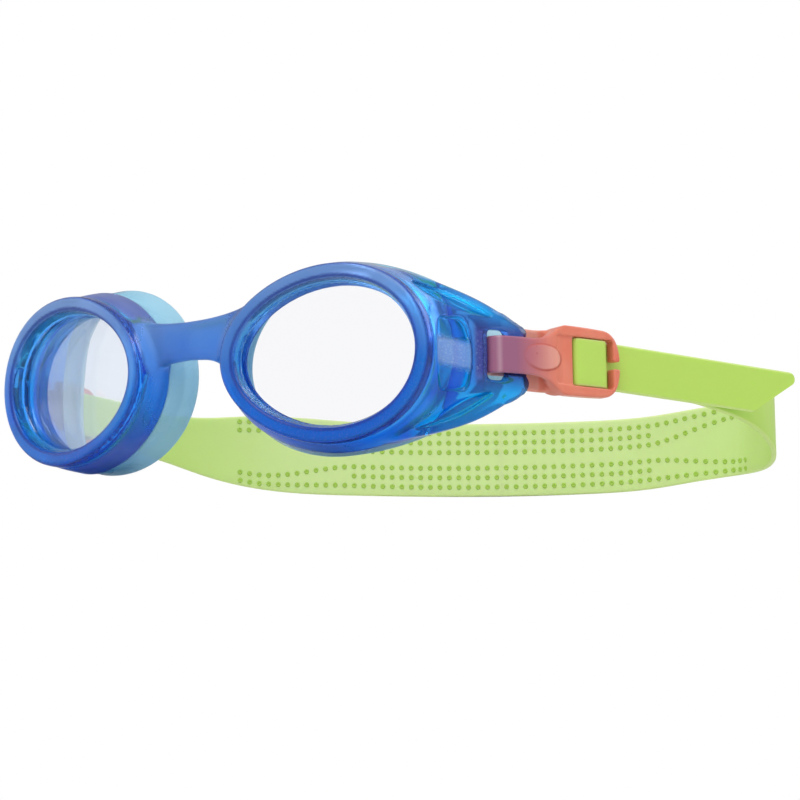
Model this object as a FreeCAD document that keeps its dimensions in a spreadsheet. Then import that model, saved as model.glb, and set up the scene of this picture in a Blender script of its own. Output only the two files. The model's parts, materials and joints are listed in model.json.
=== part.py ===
import FreeCAD, Part
import math
import os

from FreeCAD import Matrix, Placement, Rotation, Vector

# Children's swim goggles. +X is the wearer's left, +Z up, and the lenses face -Y.
# The goggles stand on the lower edges of the gaskets and of the strap.

os.makedirs("parts", exist_ok=True)
doc = FreeCAD.newDocument("swim_goggles")

DIMENSIONS = {
    # ring and cup, in each lens's own axes: u to the temple, w up, n back from the ring's face
    "ring_height": 20.8,
    "ring_offset": 33.1,
    "ring_yaw": 12.0,
    "ring_cant": 1.5,
    "ring_pitch": 0.7,
    "ring_width": 45.6,
    "ring_tall": 36.5,
    "ring_band": 3.0,
    "ring_egg": 0.088,
    "bezel_depth": 2.6,
    "bezel_step": 0.7,
    "lens_seat": 3.2,
    "lens_thick": 2.0,
    "lens_width": 41.0,
    "lens_tall": 31.4,
    "wall_thick": 1.9,
    # nose bridge
    "bridge_tall": 8.0,
    "bridge_deep": 4.8,
    "bridge_rise": 5.3,
    # temple wing and the bar that the buckle hooks round
    "bar_x": 63.8,
    "bar_y": 24.8,
    "bar_drop": 0.9,
    "bar_angle": 70.0,
    "bar_half": 2.9,
    "bar_thick": 1.9,
    "slot_tall": 10.6,
    "wing_start": 3.8,
    "slot_back": 7.4,
    "recess_deep": 1.2,
    # buckle, along its own length from the bar's axis
    "buckle_length": 25.6,
    "buckle_tall": 14.6,
    "neck_tall": 7.6,
    "leg_tall": 12.6,
    "loop_thick": 6.0,
    "loop_gap": 3.5,
    "loop_back": 3.9,
    "loop_front": 7.0,
    "plate_under": 0.4,
    "flare_radius": 8.0,
    "window_start": 13.2,
    "window_length": 10.3,
    "window_tall": 10.6,
    "centre_bar_start": 16.3,
    "centre_bar_width": 4.2,
    "centre_bar_thick": 1.0,
    "end_gap": 1.6,
    "buckle_angle_left": 64.0,
    "buckle_angle_right": 90.0,
    # strap
    "strap_thick": 1.2,
    "strap_narrow": 10.0,
    "strap_join": 30.0,
    "strap_under": 2.2,
    "tail_under": 0.45,
    "tail_droop": 4.0,
    "tail_end": 76.0,
    "tail_low_end": 62.0,
}

sheet = doc.addObject("Spreadsheet::Sheet", "dims")
for row, (alias, value) in enumerate(DIMENSIONS.items(), start=1):
    sheet.set(f"A{row}", alias)
    sheet.set(f"B{row}", str(value))
    sheet.setAlias(f"B{row}", alias)
doc.recompute()


def dim(alias):
    """A driving dimension, read from the sheet."""
    return float(sheet.get(alias))


# ---------------------------------------------------------------- lens axes and outlines

def lens_placement():
    """Places the left lens's own axes (u, n, w) in the goggles' frame."""
    turn = Rotation(Vector(0, 0, 1), dim("ring_yaw"))
    turn = turn * Rotation(Vector(1, 0, 0), -dim("ring_pitch"))
    turn = turn * Rotation(Vector(0, 1, 0), -dim("ring_cant"))
    return Placement(Vector(dim("ring_offset"), 0, dim("ring_height")), turn)


def outline(nose, temple, top, bottom, depth, egg=None, nose_egg=None):
    """A closed egg-shaped wire at one depth: half widths to nose and temple, half heights up and down, and
    how much taller it gets towards the temple and lower towards the nose."""
    egg = dim("ring_egg") if egg is None else egg
    nose_egg = egg if nose_egg is None else nose_egg
    points = []
    steps = 28
    for i in range(steps):
        angle = 2 * math.pi * i / steps
        across, along = math.cos(angle), math.sin(angle)
        half_width = temple if across > 0 else nose
        half_height = top if along > 0 else bottom
        taller = 1 + (egg if across > 0 else nose_egg) * across
        points.append(Vector(half_width * across, depth, half_height * along * taller))
    curve = Part.BSplineCurve()
    curve.interpolate(points, PeriodicFlag=True)
    return Part.Wire([curve.toShape()])


def skin(*sections):
    """A solid through outlines, each given as the arguments of outline()."""
    return Part.makeLoft([outline(*section) for section in sections], True, True)


def behind(*depths):
    """Everything behind a sheet that bends back to the temple, as the face does."""
    reach, tall, far = 40.0, 60.0, 90.0
    places = (-reach, -25.0, 0.0, 16.0, 30.0, reach)
    edge = Part.BSplineCurve()
    edge.interpolate([Vector(across, depth, -tall) for across, depth in zip(places, depths)])
    start, end = edge.StartPoint, edge.EndPoint
    corners = [end, Vector(reach, far, -tall), Vector(-reach, far, -tall), start]
    lines = [Part.LineSegment(a, b).toShape() for a, b in zip(corners, corners[1:])]
    wire = Part.Wire([edge.toShape(), *lines])
    return Part.Face(wire).extrude(Vector(0, 0, 2 * tall))


def mirrored(shape):
    """The same shape on the other side of the nose."""
    flip = Matrix()
    flip.A11 = -1
    return shape.transformGeometry(flip)


half_w, half_h = dim("ring_width") / 2, dim("ring_tall") / 2
band, step = dim("ring_band"), dim("bezel_step")
bezel = dim("bezel_depth")
FAR = 36.0

WALL_EDGE = behind(7.8, 8.0, 9.2, 13.6, 21.5, 29.0)
RIM_EDGE = behind(17.5, 16.0, 14.7, 20.0, 28.5, 36.0)


# ---------------------------------------------------------------- goggle frame

def cup_body():
    """The ring's bezel and the cup wall behind it, still solid."""
    ring = skin((half_w - 0.5, half_w - 0.5, half_h - 0.5, half_h - 0.5, 0.0),
                (half_w, half_w, half_h, half_h, 0.6),
                (half_w + 0.3, half_w + 0.3, half_h + 0.3, half_h + 0.3, bezel))
    wall = skin((half_w - step, half_w - step, half_h - step, half_h - step, bezel - 0.4, 0.08),
                (half_w + 0.6, half_w + 1.2, half_h + 0.7, half_h + 0.6, 5.0, 0.05, 0.07),
                (25.0, 24.2, 20.2, 19.7, 9.0, 0.0, 0.05),
                (26.0, 25.6, 22.5, 21.1, 22.0, -0.06, 0.04),
                (27.0, 28.0, 25.0, 22.4, FAR, -0.1, 0.03))
    return ring.fuse(wall.cut(WALL_EDGE))


def cup_hollow():
    """The window in front of the lens and the hollow for the eye behind it."""
    seat = dim("lens_seat")
    back = seat + dim("lens_thick")
    thick = dim("wall_thick")
    inner_w, inner_h = half_w - band, half_h - band
    front = skin((inner_w + 0.3, inner_w + 0.3, inner_h + 0.3, inner_h + 0.3, -0.5),
                 (inner_w, inner_w, inner_h, inner_h, 0.5),
                 (inner_w - 0.8, inner_w - 0.8, inner_h - 0.8, inner_h - 0.8, seat))
    middle = skin((inner_w - 1.0, inner_w - 1.0, inner_h - 1.0, inner_h - 1.0, seat - 0.1),
                  (inner_w - 1.0, inner_w - 1.0, inner_h - 1.0, inner_h - 1.0, back + 0.8))
    rear = skin((inner_w - 1.0, inner_w - 1.0, inner_h - 1.0, inner_h - 1.0, back + 0.8),
                (23.0 - thick, 22.4 - thick, 18.9 - thick, 18.6 - thick, 8.0, 0.01, 0.05),
                (26.0 - thick, 25.6 - thick, 22.5 - thick, 21.1 - thick, 22.0, -0.06, 0.04),
                (27.0 - thick, 28.0 - thick, 25.0 - thick, 22.4 - thick, FAR, -0.1, 0.03))
    return front.fuse([middle, rear])


def lens_body():
    """A clear pane with rounded edge, held in the groove behind the ring."""
    seat, thick = dim("lens_seat"), dim("lens_thick")
    wide, tall = dim("lens_width") / 2, dim("lens_tall") / 2
    return skin((wide - 0.3, wide - 0.3, tall - 0.3, tall - 0.3, seat),
                (wide, wide, tall, tall, seat + 0.3),
                (wide, wide, tall, tall, seat + thick - 0.3),
                (wide - 0.3, wide - 0.3, tall - 0.3, tall - 0.3, seat + thick))


def gasket_body():
    """The soft seal: a thin skirt from the cup wall's edge to a rolled lip against the face."""
    outer = skin((23.6, 24.0, 18.9, 18.7, 5.0, 0.05),
                 (24.6, 25.8, 19.8, 19.3, 9.0, 0.04),
                 (25.0, 27.6, 21.6, 20.5, 15.0, 0.03),
                 (26.0, 32.8, 24.4, 21.2, FAR, 0.03))
    inner = skin((20.2, 20.6, 15.8, 15.7, 5.0, 0.05),
                 (22.2, 23.2, 17.4, 17.0, 9.0, 0.04),
                 (21.4, 24.2, 17.8, 16.8, 15.0, 0.03),
                 (22.0, 29.0, 20.4, 17.4, FAR, 0.03))
    gap = WALL_EDGE.translated(Vector(0, 0.02, 0))
    return outer.cut(inner).common(gap).cut(RIM_EDGE)


def bridge_body():
    """The nose bridge: a waisted bar that swells into both cups."""
    tall, deep, rise = dim("bridge_tall") / 2, dim("bridge_deep") / 2, dim("bridge_rise")
    stations = [(0.0, tall, deep, rise, -0.8), (4.5, tall + 0.2, deep, rise, -0.6),
                (9.0, tall + 1.1, deep + 0.3, rise - 0.3, 0.0), (12.5, tall + 3.0, deep + 0.8, rise - 1.2, 0.8),
                (15.5, tall + 5.0, deep + 1.4, rise - 2.0, 1.8)]
    stations = [(-x, *rest) for x, *rest in reversed(stations[1:])] + stations
    wires = []
    for x, half_tall, half_deep, middle, forward in stations:
        points = []
        for i in range(16):
            angle = 2 * math.pi * i / 16
            across = math.copysign(abs(math.cos(angle)) ** 0.75, math.cos(angle))
            along = math.copysign(abs(math.sin(angle)) ** 0.75, math.sin(angle))
            points.append(Vector(x, forward + half_deep * across, dim("ring_height") + middle + half_tall * along))
        curve = Part.BSplineCurve()
        curve.interpolate(points, PeriodicFlag=True)
        wires.append(Part.Wire([curve.toShape()]))
    return Part.makeLoft(wires, True, False)


WING_ANGLE = 62.5
WING_ROOT = Vector(55.4, 4.8, 0)
WING_TIP = Vector(64.7, 24.5, 0)
WING_OUT = Vector(0.8, -0.6, 0)
# how far the wing runs back into the cup wall and on past the bar, as shares of its length
WING_INTO_WALL, WING_PAST_BAR = 0.08, 0.03
WING_HEIGHTS = (-17.2, -15.5, -13.0, -9.5, -5.0, 0.0, 5.0, 9.5, 13.0, 15.5, 17.2)


def wing_layer(outside, inside):
    """The wing between two pairs of distances from its outer skin, each (at the ring, at the tip), outward
    positive. The skin runs straight from the ring's outline to the bar at every height."""
    place = lens_placement()
    wires = []
    for height in WING_HEIGHTS:
        level = Vector(0, 0, dim("ring_height") + height)
        across = (half_w + 0.8) * math.sqrt(1 - (height / (half_h + 0.2)) ** 2)
        start = place.multVec(Vector(across, dim("wing_start"), 0))
        run = WING_TIP - Vector(start.x, start.y, 0)
        root = WING_TIP - run * (1 + WING_INTO_WALL) + level
        tip = WING_TIP + run * WING_PAST_BAR + level
        corners = [root + WING_OUT * outside[0], tip + WING_OUT * outside[1],
                   tip + WING_OUT * inside[1], root + WING_OUT * inside[0]]
        wires.append(Part.makePolygon(corners + corners[:1]))
    return Part.makeLoft(wires, True, True)


def wing_panel(points, smooth=True):
    """Everything in front of and behind a shape drawn on the wing's side, as (distance along, height) points."""
    along = Vector(math.cos(math.radians(WING_ANGLE)), math.sin(math.radians(WING_ANGLE)), 0)
    out = Vector(along.y, -along.x, 0)
    places = [WING_ROOT + along * t + Vector(0, 0, dim("ring_height") + z) - out * 30 for t, z in points]
    if smooth:
        curve = Part.BSplineCurve()
        curve.interpolate(places, PeriodicFlag=True)
        wire = Part.Wire([curve.toShape()])
    else:
        wire = Part.makePolygon(places + places[:1])
    return Part.Face(wire).extrude(out * 60)


def wing_body():
    """A temple wing that tapers back to the bar, with its slot, its pocket and two leaf-shaped recesses."""
    bar = Vector(dim("bar_x"), dim("bar_y"), 0)
    turn = Rotation(Vector(0, 0, 1), dim("bar_angle"))
    middle = dim("ring_height") - dim("bar_drop")
    slot = Part.makeBox(dim("slot_back"), 20, dim("slot_tall"), Vector(-dim("slot_back"), -10, -dim("slot_tall") / 2))
    slot.Placement = Placement(bar + Vector(0, 0, middle), turn)
    section = Part.Ellipse(Vector(0, 0, 0), dim("bar_half"), dim("bar_thick") / 2).toShape()
    rod = Part.Face(Part.Wire([section])).extrude(Vector(0, 0, 60))
    rod.Placement = Placement(bar, turn)
    side = [(-9.0, 15.5), (-5.0, 17.0), (-0.6, 17.3), (1.9, 16.5), (6.2, 14.6), (11.6, 11.9), (16.5, 9.0),
            (20.6, 6.5), (22.9, 5.1), (24.0, 3.4), (24.5, -1.0), (24.6, -4.6), (24.0, -7.1), (21.4, -9.4),
            (16.3, -12.3), (11.5, -14.5), (6.7, -16.0), (2.2, -17.0), (-1.8, -17.2), (-5.0, -17.0), (-9.0, -15.5)]
    plate = wing_layer((0.0, 0.0), (-3.6, -1.8)).cut(slot)
    body = plate.fuse(rod).common(wing_panel(side, False))
    deep = dim("recess_deep")
    top_layer = wing_layer((4.0, 4.0), (-deep, -deep))
    pocket = [(2.8, 6.0), (9.6, 6.2), (10.4, -1.0), (9.6, -8.3), (2.8, -8.5)]
    leaf_top = [(1.5, 12.6), (8.0, 10.0), (14.6, 6.6), (9.0, 8.4)]
    leaf_low = [(1.0, -15.6), (8.0, -12.6), (13.6, -9.2), (7.6, -10.6)]
    for shape, smooth in ((pocket, False), (leaf_top, True), (leaf_low, True)):
        body = body.cut(top_layer.common(wing_panel(shape, smooth)))
    return body


def frame_body():
    """Both cups, the bridge and both wings as the one moulding they are."""
    place = lens_placement()
    cup, hollow, lens = cup_body(), cup_hollow(), lens_body()
    for shape in (cup, hollow, lens):
        shape.Placement = place
    wing = wing_body()
    solid = cup.fuse([mirrored(cup), wing, mirrored(wing), bridge_body()])
    solid = solid.cut(hollow.fuse(lens))
    solid = solid.cut(mirrored(hollow.fuse(lens)))
    return max(solid.Solids, key=lambda piece: piece.Volume)


# ---------------------------------------------------------------- strap

def ribbon(corners, radii, thick):
    """A flat band seen edge-on: straight runs joined by tangent arcs, with the given thickness."""
    half = thick / 2
    sides = {1: [], -1: []}
    ends = {1: None, -1: None}

    def left_of(a, b):
        run = (b - a).normalize()
        return Vector(-run.y, run.x, 0)

    for side in sides:
        previous = corners[0] + left_of(corners[0], corners[1]) * (half * side)
        start = previous
        for before, corner, after, radius in zip(corners, corners[1:], corners[2:], radii):
            run_in, run_out = (corner - before).normalize(), (after - corner).normalize()
            turn = run_in.cross(run_out).z
            angle = math.acos(max(-1.0, min(1.0, run_in.dot(run_out))))
            reach = radius * math.tan(angle / 2)
            bend = 1 if turn > 0 else -1
            enter, leave = corner - run_in * reach, corner + run_out * reach
            centre = enter + left_of(before, corner) * (radius * bend)
            size = radius - half * side * bend
            first = centre + (enter - centre).normalize() * size
            last = centre + (leave - centre).normalize() * size
            middle = centre + (corner - centre).normalize() * size
            if (first - previous).Length > 1e-6:
                sides[side].append(Part.LineSegment(previous, first).toShape())
            sides[side].append(Part.Arc(first, middle, last).toShape())
            previous = last
        end = corners[-1] + left_of(corners[-2], corners[-1]) * (half * side)
        sides[side].append(Part.LineSegment(previous, end).toShape())
        ends[side] = (start, end)
    caps = [Part.LineSegment(ends[1][i], ends[-1][i]).toShape() for i in (0, 1)]
    edges = sides[1] + [caps[1]] + sides[-1][::-1] + [caps[0]]
    return Part.Face(Part.Wire(Part.__sortEdges__(edges)))


def strap_end_body(lift):
    """The strap's end on a buckle: inner run, wrap over the centre bar and tail. lift is +1 if local +Z is up."""
    thick, narrow = dim("strap_thick"), dim("strap_narrow")
    under, tail = -dim("strap_under"), -dim("tail_under")
    top = dim("plate_under") + 0.1 + dim("centre_bar_thick") + 0.1 + thick / 2
    left = dim("centre_bar_start") - 0.7 - thick / 2
    right = dim("centre_bar_start") + dim("centre_bar_width") + 0.3 + thick / 2
    corners = [Vector(dim("strap_join"), under, 0), Vector(left, under, 0), Vector(left, top, 0),
               Vector(right, top, 0), Vector(right, tail, 0), Vector(dim("buckle_length") + 1.5, tail, 0)]
    wrap = ribbon(corners, [1.9, 0.75, 0.75, 0.75], thick).extrude(Vector(0, 0, narrow))
    wrap.translate(Vector(0, 0, -narrow / 2))
    start, end, low_end = dim("buckle_length") + 1.0, dim("tail_end"), dim("tail_low_end")
    slope = math.tan(math.radians(dim("tail_droop")))
    half = narrow / 2

    def drop(distance, height):
        return Vector(distance, tail - thick / 2, lift * (height - (distance - start) * slope))

    outline_points = [drop(start, half), drop(end - 1.5, half), drop(end, half - 1.2), drop(end - 0.6, half - 2.6),
                      drop(low_end, -half), drop(start, -half)]
    flat = Part.Face(Part.makePolygon(outline_points + outline_points[:1])).extrude(Vector(0, thick, 0))
    return wrap.fuse(flat).removeSplitter()


# The strap's middle line from the left buckle round the back to the right buckle:
# across, back, height of its middle above the ring centre, and half its width.
STRAP_ROUTE = [
    (80.9, 65.2, -2.4, 5.0), (85.0, 77.3, -3.6, 5.3), (86.7, 89.5, -5.2, 6.2), (85.0, 101.5, -6.9, 7.2),
    (80.9, 112.5, -8.0, 8.0), (75.0, 122.5, -8.3, 8.5), (68.6, 131.0, -8.1, 8.7), (61.0, 137.0, -7.9, 8.8),
    (51.5, 134.6, -8.9, 8.8), (42.0, 128.6, -10.6, 8.8), (28.4, 119.8, -11.6, 8.8), (5.5, 105.4, -11.8, 8.8),
    (-18.6, 90.2, -10.9, 8.9), (-40.0, 76.3, -8.8, 8.6), (-49.2, 70.2, -7.4, 7.0), (-56.2, 65.0, -5.4, 5.8),
    (-60.4, 60.2, -3.2, 5.2),
]


def buckle_point(side, along, out):
    """A point on a buckle's side view, in the goggles' frame, at the height of its middle."""
    angle = math.radians(dim("buckle_angle_left") if side > 0 else dim("buckle_angle_right"))
    run = Vector(side * math.cos(angle), math.sin(angle), 0)
    outward = Vector(side * math.sin(angle), -math.cos(angle), 0)
    height = dim("ring_height") - dim("bar_drop")
    return Vector(side * dim("bar_x"), dim("bar_y"), height) + run * along + outward * out


def strap_loop_body():
    """The long part of the strap as one bent band of changing width."""
    gap, narrow = 0.3, dim("strap_narrow") / 2
    start = buckle_point(1, dim("strap_join") + gap, -dim("strap_under"))
    finish = buckle_point(-1, dim("strap_join") + gap, -dim("strap_under"))
    rows = [(start, narrow)]
    for across, back, height, half in STRAP_ROUTE:
        rows.append((Vector(across, back, dim("ring_height") + height), half))
    rows.append((finish, narrow))
    places = [0.0]
    for (before, _), (after, _) in zip(rows, rows[1:]):
        places.append(places[-1] + (after - before).Length)
    middle, upper = Part.BSplineCurve(), Part.BSplineCurve()
    middle.interpolate([point for point, _ in rows], Parameters=places)
    upper.interpolate([point + Vector(0, 0, half) for point, half in rows], Parameters=places)
    wires = []
    stations = 64
    for i in range(stations + 1):
        place = places[-1] * i / stations
        point, edge = middle.value(place), upper.value(place)
        along = middle.tangent(place)[0]
        out = Vector(along.y, -along.x, 0).normalize() * (dim("strap_thick") / 2)
        up = Vector(0, 0, edge.z - point.z)
        corners = [point + out + up, point + out - up, point - out - up, point - out + up]
        wires.append(Part.makePolygon(corners + corners[:1]))
    return Part.makeLoft(wires, True, True)


# ---------------------------------------------------------------- buckles, from bound primitives

def primitive(kind, name, place, **sizes):
    """A Part primitive whose sizes follow the sheet, at a Placement in the buckle's own axes."""
    item = doc.addObject(f"Part::{kind}", name)
    for size, formula in sizes.items():
        item.setExpression(size, formula)
    for axis, formula in zip("xyz", place):
        item.setExpression(f"Placement.Base.{axis}", formula)
    return item


def fused(name, items):
    item = doc.addObject("Part::MultiFuse", name)
    item.Shapes = items
    return item


def cut(name, base, tool):
    item = doc.addObject("Part::Cut", name)
    item.Base = base
    item.Tool = tool
    return item


def buckle(label):
    """One clip: a flat loop round the bar, a flared arm, and a window with a centre bar and a split end."""
    def named(part):
        return f"{label}_{part}"

    tall, thick, gap = "dims.buckle_tall", "dims.loop_thick", "dims.loop_gap"
    low = f"-{tall} / 2"
    loop = fused(named("loop"), [
        primitive("Box", named("loop_block"), ("-dims.loop_back", f"-{thick} / 2", low),
                  Length="dims.loop_back + dims.loop_front + 2", Width=thick, Height=tall),
        primitive("Cylinder", named("loop_roll"), ("-dims.loop_back", "0", low),
                  Radius=f"{thick} / 2", Height=tall),
        primitive("Box", named("plate"), ("dims.loop_front", "dims.plate_under", low),
                  Length="dims.buckle_length - dims.loop_front",
                  Width=f"{thick} / 2 - dims.plate_under", Height=tall),
    ])
    hollow = [
        primitive("Box", named("gap_block"), ("-dims.loop_back", f"-{gap} / 2", low),
                  Length="dims.loop_back + dims.loop_front", Width=gap, Height=tall),
        primitive("Cylinder", named("gap_roll"), ("-dims.loop_back", "0", low),
                  Radius=f"{gap} / 2", Height=tall),
        primitive("Cylinder", named("gap_front"), ("dims.loop_front", "0", low),
                  Radius=f"{gap} / 2", Height=tall),
        primitive("Box", named("window"), ("dims.window_start", f"-{thick}", "-dims.window_tall / 2"),
                  Length="dims.window_length", Width=f"2 * {thick}", Height="dims.window_tall"),
        primitive("Box", named("end_split"), ("dims.window_start + dims.window_length / 2", f"-{thick}",
                                              "-dims.end_gap / 2"),
                  Length="dims.buckle_length", Width=f"2 * {thick}", Height="dims.end_gap"),
    ]
    for side, sign in (("top", 1), ("low", -1)):
        start = "dims.neck_tall / 2" if sign > 0 else "-dims.neck_tall / 2 - 20"
        hollow.append(primitive("Box", named(f"neck_{side}"), ("-20", f"-{thick}", start),
                                Length="23", Width=f"2 * {thick}", Height="20"))
        leg_start = "dims.leg_tall / 2" if sign > 0 else "-dims.leg_tall / 2 - 20"
        hollow.append(primitive("Box", named(f"leg_{side}"), ("-20", f"-{thick}", leg_start),
                                Length="40", Width=f"{thick}", Height="20"))
        flare = primitive("Cylinder", named(f"flare_{side}"),
                          ("3", "0", f"{sign} * (dims.neck_tall / 2 + dims.flare_radius)"),
                          Radius="dims.flare_radius", Height=thick)
        flare.Placement = Placement(flare.Placement.Base, Rotation(Vector(1, 0, 0), -90))
        hollow.append(flare)
    body = cut(named("arm"), loop, fused(named("hollow"), hollow))
    centre = primitive("Box", named("centre_bar"), ("dims.centre_bar_start", "dims.plate_under + 0.1",
                                                    "-dims.window_tall / 2 - 0.5"),
                       Length="dims.centre_bar_width", Width="dims.centre_bar_thick",
                       Height="dims.window_tall + 1")
    clip = fused(label, [body, centre])
    clip.Label = label
    return clip


# ---------------------------------------------------------------- the document's sub-parts

def feature(label, shape):
    """A sub-part whose shape is worked out above from the sheet's sizes."""
    item = doc.addObject("Part::Feature", label)
    item.Label = label
    item.Shape = shape
    return item


def at_bar(side):
    """Where a buckle's own axes lie: along its length, outward, and the bar's axis."""
    angle = dim("buckle_angle_left") if side > 0 else 180 - dim("buckle_angle_right")
    turn = Rotation(Vector(0, 0, 1), angle)
    if side > 0:
        turn = turn * Rotation(Vector(1, 0, 0), 180)
    return Placement(buckle_point(side, 0, 0), turn)


lens = lens_body()
lens.Placement = lens_placement()
gasket = gasket_body()
gasket.Placement = lens_placement()

subparts = {
    "goggle_frame": (feature("goggle_frame", frame_body()), Placement()),
    "lens_left": (feature("lens_left", lens), Placement()),
    "lens_right": (feature("lens_right", mirrored(lens)), Placement()),
    "gasket_left": (feature("gasket_left", gasket), Placement()),
    "gasket_right": (feature("gasket_right", mirrored(gasket)), Placement()),
    "buckle_left": (buckle("buckle_left"), at_bar(1)),
    "buckle_right": (buckle("buckle_right"), at_bar(-1)),
    "strap_end_left": (feature("strap_end_left", strap_end_body(-1)), at_bar(1)),
    "strap_end_right": (feature("strap_end_right", strap_end_body(1)), at_bar(-1)),
    "strap_loop": (feature("strap_loop", strap_loop_body()), Placement()),
}
doc.recompute()

# The origin is the middle of the goggles' base, so every sub-part is moved there together.
whole = FreeCAD.BoundBox()
for item, place in subparts.values():
    shape = item.Shape.copy()
    shape.Placement = place.multiply(shape.Placement)
    whole.add(shape.optimalBoundingBox())
to_base = Placement(Vector(-whole.Center.x, -whole.Center.y, -whole.ZMin), Rotation())
for item, place in subparts.values():
    item.Placement = to_base.multiply(place).multiply(item.Placement)
doc.recompute()

for item in doc.Objects:
    if {"Invalid", "Error"} & set(item.State):
        raise RuntimeError(f"{item.Label} failed: {item.State}")
for label, (item, _) in subparts.items():
    if item.Shape.isNull() or not item.Shape.isValid() or len(item.Shape.Solids) != 1:
        raise RuntimeError(f"{label} has no single valid solid: {len(item.Shape.Solids)}")
for label, (item, _) in subparts.items():
    item.Shape.exportStep(f"parts/{label}.step")
    box = item.Shape.optimalBoundingBox()
    print(f"{label}: {item.Shape.Volume:.0f} mm3, x {box.XMin:.1f} {box.XMax:.1f}, "
          f"y {box.YMin:.1f} {box.YMax:.1f}, z {box.ZMin:.2f} {box.ZMax:.2f}")
for side, label in ((1, "left"), (-1, "right")):
    print(f"buckle_{label} bar axis", to_base.multVec(buckle_point(side, 0, 0)))
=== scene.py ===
import json
import math

import bmesh
import bpy
import numpy as np
from mathutils import Matrix, Vector


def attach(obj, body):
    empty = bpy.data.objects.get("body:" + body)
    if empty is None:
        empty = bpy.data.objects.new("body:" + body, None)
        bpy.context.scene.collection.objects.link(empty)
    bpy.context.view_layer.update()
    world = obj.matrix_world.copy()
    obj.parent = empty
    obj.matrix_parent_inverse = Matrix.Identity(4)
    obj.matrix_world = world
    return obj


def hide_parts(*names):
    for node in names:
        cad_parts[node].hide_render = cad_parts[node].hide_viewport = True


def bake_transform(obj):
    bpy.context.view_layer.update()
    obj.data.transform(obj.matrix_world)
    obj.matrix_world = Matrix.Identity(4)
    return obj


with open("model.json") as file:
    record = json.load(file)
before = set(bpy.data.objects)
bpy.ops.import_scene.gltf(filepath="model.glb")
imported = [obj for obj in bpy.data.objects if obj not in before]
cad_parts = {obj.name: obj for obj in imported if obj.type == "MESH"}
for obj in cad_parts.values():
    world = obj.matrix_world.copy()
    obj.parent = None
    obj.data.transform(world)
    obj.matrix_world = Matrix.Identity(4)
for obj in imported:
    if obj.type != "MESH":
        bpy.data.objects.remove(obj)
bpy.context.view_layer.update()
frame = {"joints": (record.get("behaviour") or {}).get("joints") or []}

# Children's swim goggles. Shapes are worked out in millimetres in the design's own frame: X = 0 is the middle
# of the nose, Y = 0 the plane of the ring faces, Z = 0 the base. to_row() moves them to the row frame.

# ------------ places from the frame

BAR = (63.8, 24.8, 19.9)
JOINTS = {joint["name"]: np.array(joint["pos_m"]) * 1000 for joint in frame["joints"]}
SHIFT = (JOINTS["buckle_left_swivel"] + JOINTS["buckle_right_swivel"]) / 2 - (0.0, BAR[1], BAR[2])


def to_row(points):
    """Design points in millimetres, in the row frame in metres."""
    return (np.asarray(points, float) + SHIFT) / 1000


# ------------ curves

def eased(x, xs, ys):
    """Values on a smooth curve through (xs, ys) that never overshoots them."""
    xs, ys = np.asarray(xs, float), np.asarray(ys, float)
    gaps = np.diff(xs)
    rises = np.diff(ys) / gaps
    slopes = np.zeros(len(xs))
    slopes[0], slopes[-1] = rises[0], rises[-1]
    for i in range(1, len(xs) - 1):
        if rises[i - 1] * rises[i] > 0:
            a, b = 2 * gaps[i] + gaps[i - 1], gaps[i] + 2 * gaps[i - 1]
            slopes[i] = (a + b) / (a / rises[i - 1] + b / rises[i])
    x = np.clip(x, xs[0], xs[-1])
    i = np.clip(np.searchsorted(xs, x) - 1, 0, len(xs) - 2)
    t = (x - xs[i]) / gaps[i]
    return (ys[i] * (1 + 2 * t) * (1 - t) ** 2 + slopes[i] * gaps[i] * t * (1 - t) ** 2
            + ys[i + 1] * t * t * (3 - 2 * t) + slopes[i + 1] * gaps[i] * t * t * (t - 1))


def table(xs, ys, low=-60.0, high=90.0):
    """A function that looks up eased() quickly, level beyond the ends."""
    grid = np.linspace(low, high, 3001)
    values = eased(grid, xs, ys)
    return lambda x: np.interp(x, grid, values)


def spline(points, places, at):
    """A smooth curve with continuous bending through points at places, read at other places."""
    points, places = np.asarray(points, float), np.asarray(places, float)
    n, h = len(places), np.diff(places)
    system, right = np.eye(n), np.zeros_like(points)
    for i in range(1, n - 1):
        system[i, i - 1:i + 2] = h[i - 1], 2 * (h[i - 1] + h[i]), h[i]
        right[i] = 6 * ((points[i + 1] - points[i]) / h[i] - (points[i] - points[i - 1]) / h[i - 1])
    bend = np.linalg.solve(system, right)
    i = np.clip(np.searchsorted(places, at) - 1, 0, n - 2)
    t, gap = (at - places[i])[:, None], h[i][:, None]
    rest = gap - t
    return (bend[i] * rest ** 3 + bend[i + 1] * t ** 3) / (6 * gap) + (
        (points[i] / gap - bend[i] * gap / 6) * rest + (points[i + 1] / gap - bend[i + 1] * gap / 6) * t)


def smooth_closed(points, steps=8):
    """A closed curve through points, as many short runs."""
    points = np.asarray(points, float)
    out = []
    for i in range(len(points)):
        a, b, c, d = (points[(i + k) % len(points)] for k in (-1, 0, 1, 2))
        for j in range(steps):
            t = j / steps
            out.append(0.5 * (2 * b + (c - a) * t + (2 * a - 5 * b + 4 * c - d) * t * t
                              + (3 * b - a - 3 * c + d) * t ** 3))
    return np.array(out)


# ------------ distance fields

def smin(a, b, k):
    """The nearer of two distances, with a fillet about k wide where they are alike."""
    h = np.clip(0.5 + 0.5 * (b - a) / k, 0, 1)
    return b + (a - b) * h - k * h * (1 - h)


def smax(a, b, k):
    """The farther of two distances, with a fillet as in smin()."""
    return -smin(-a, -b, k)


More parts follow.
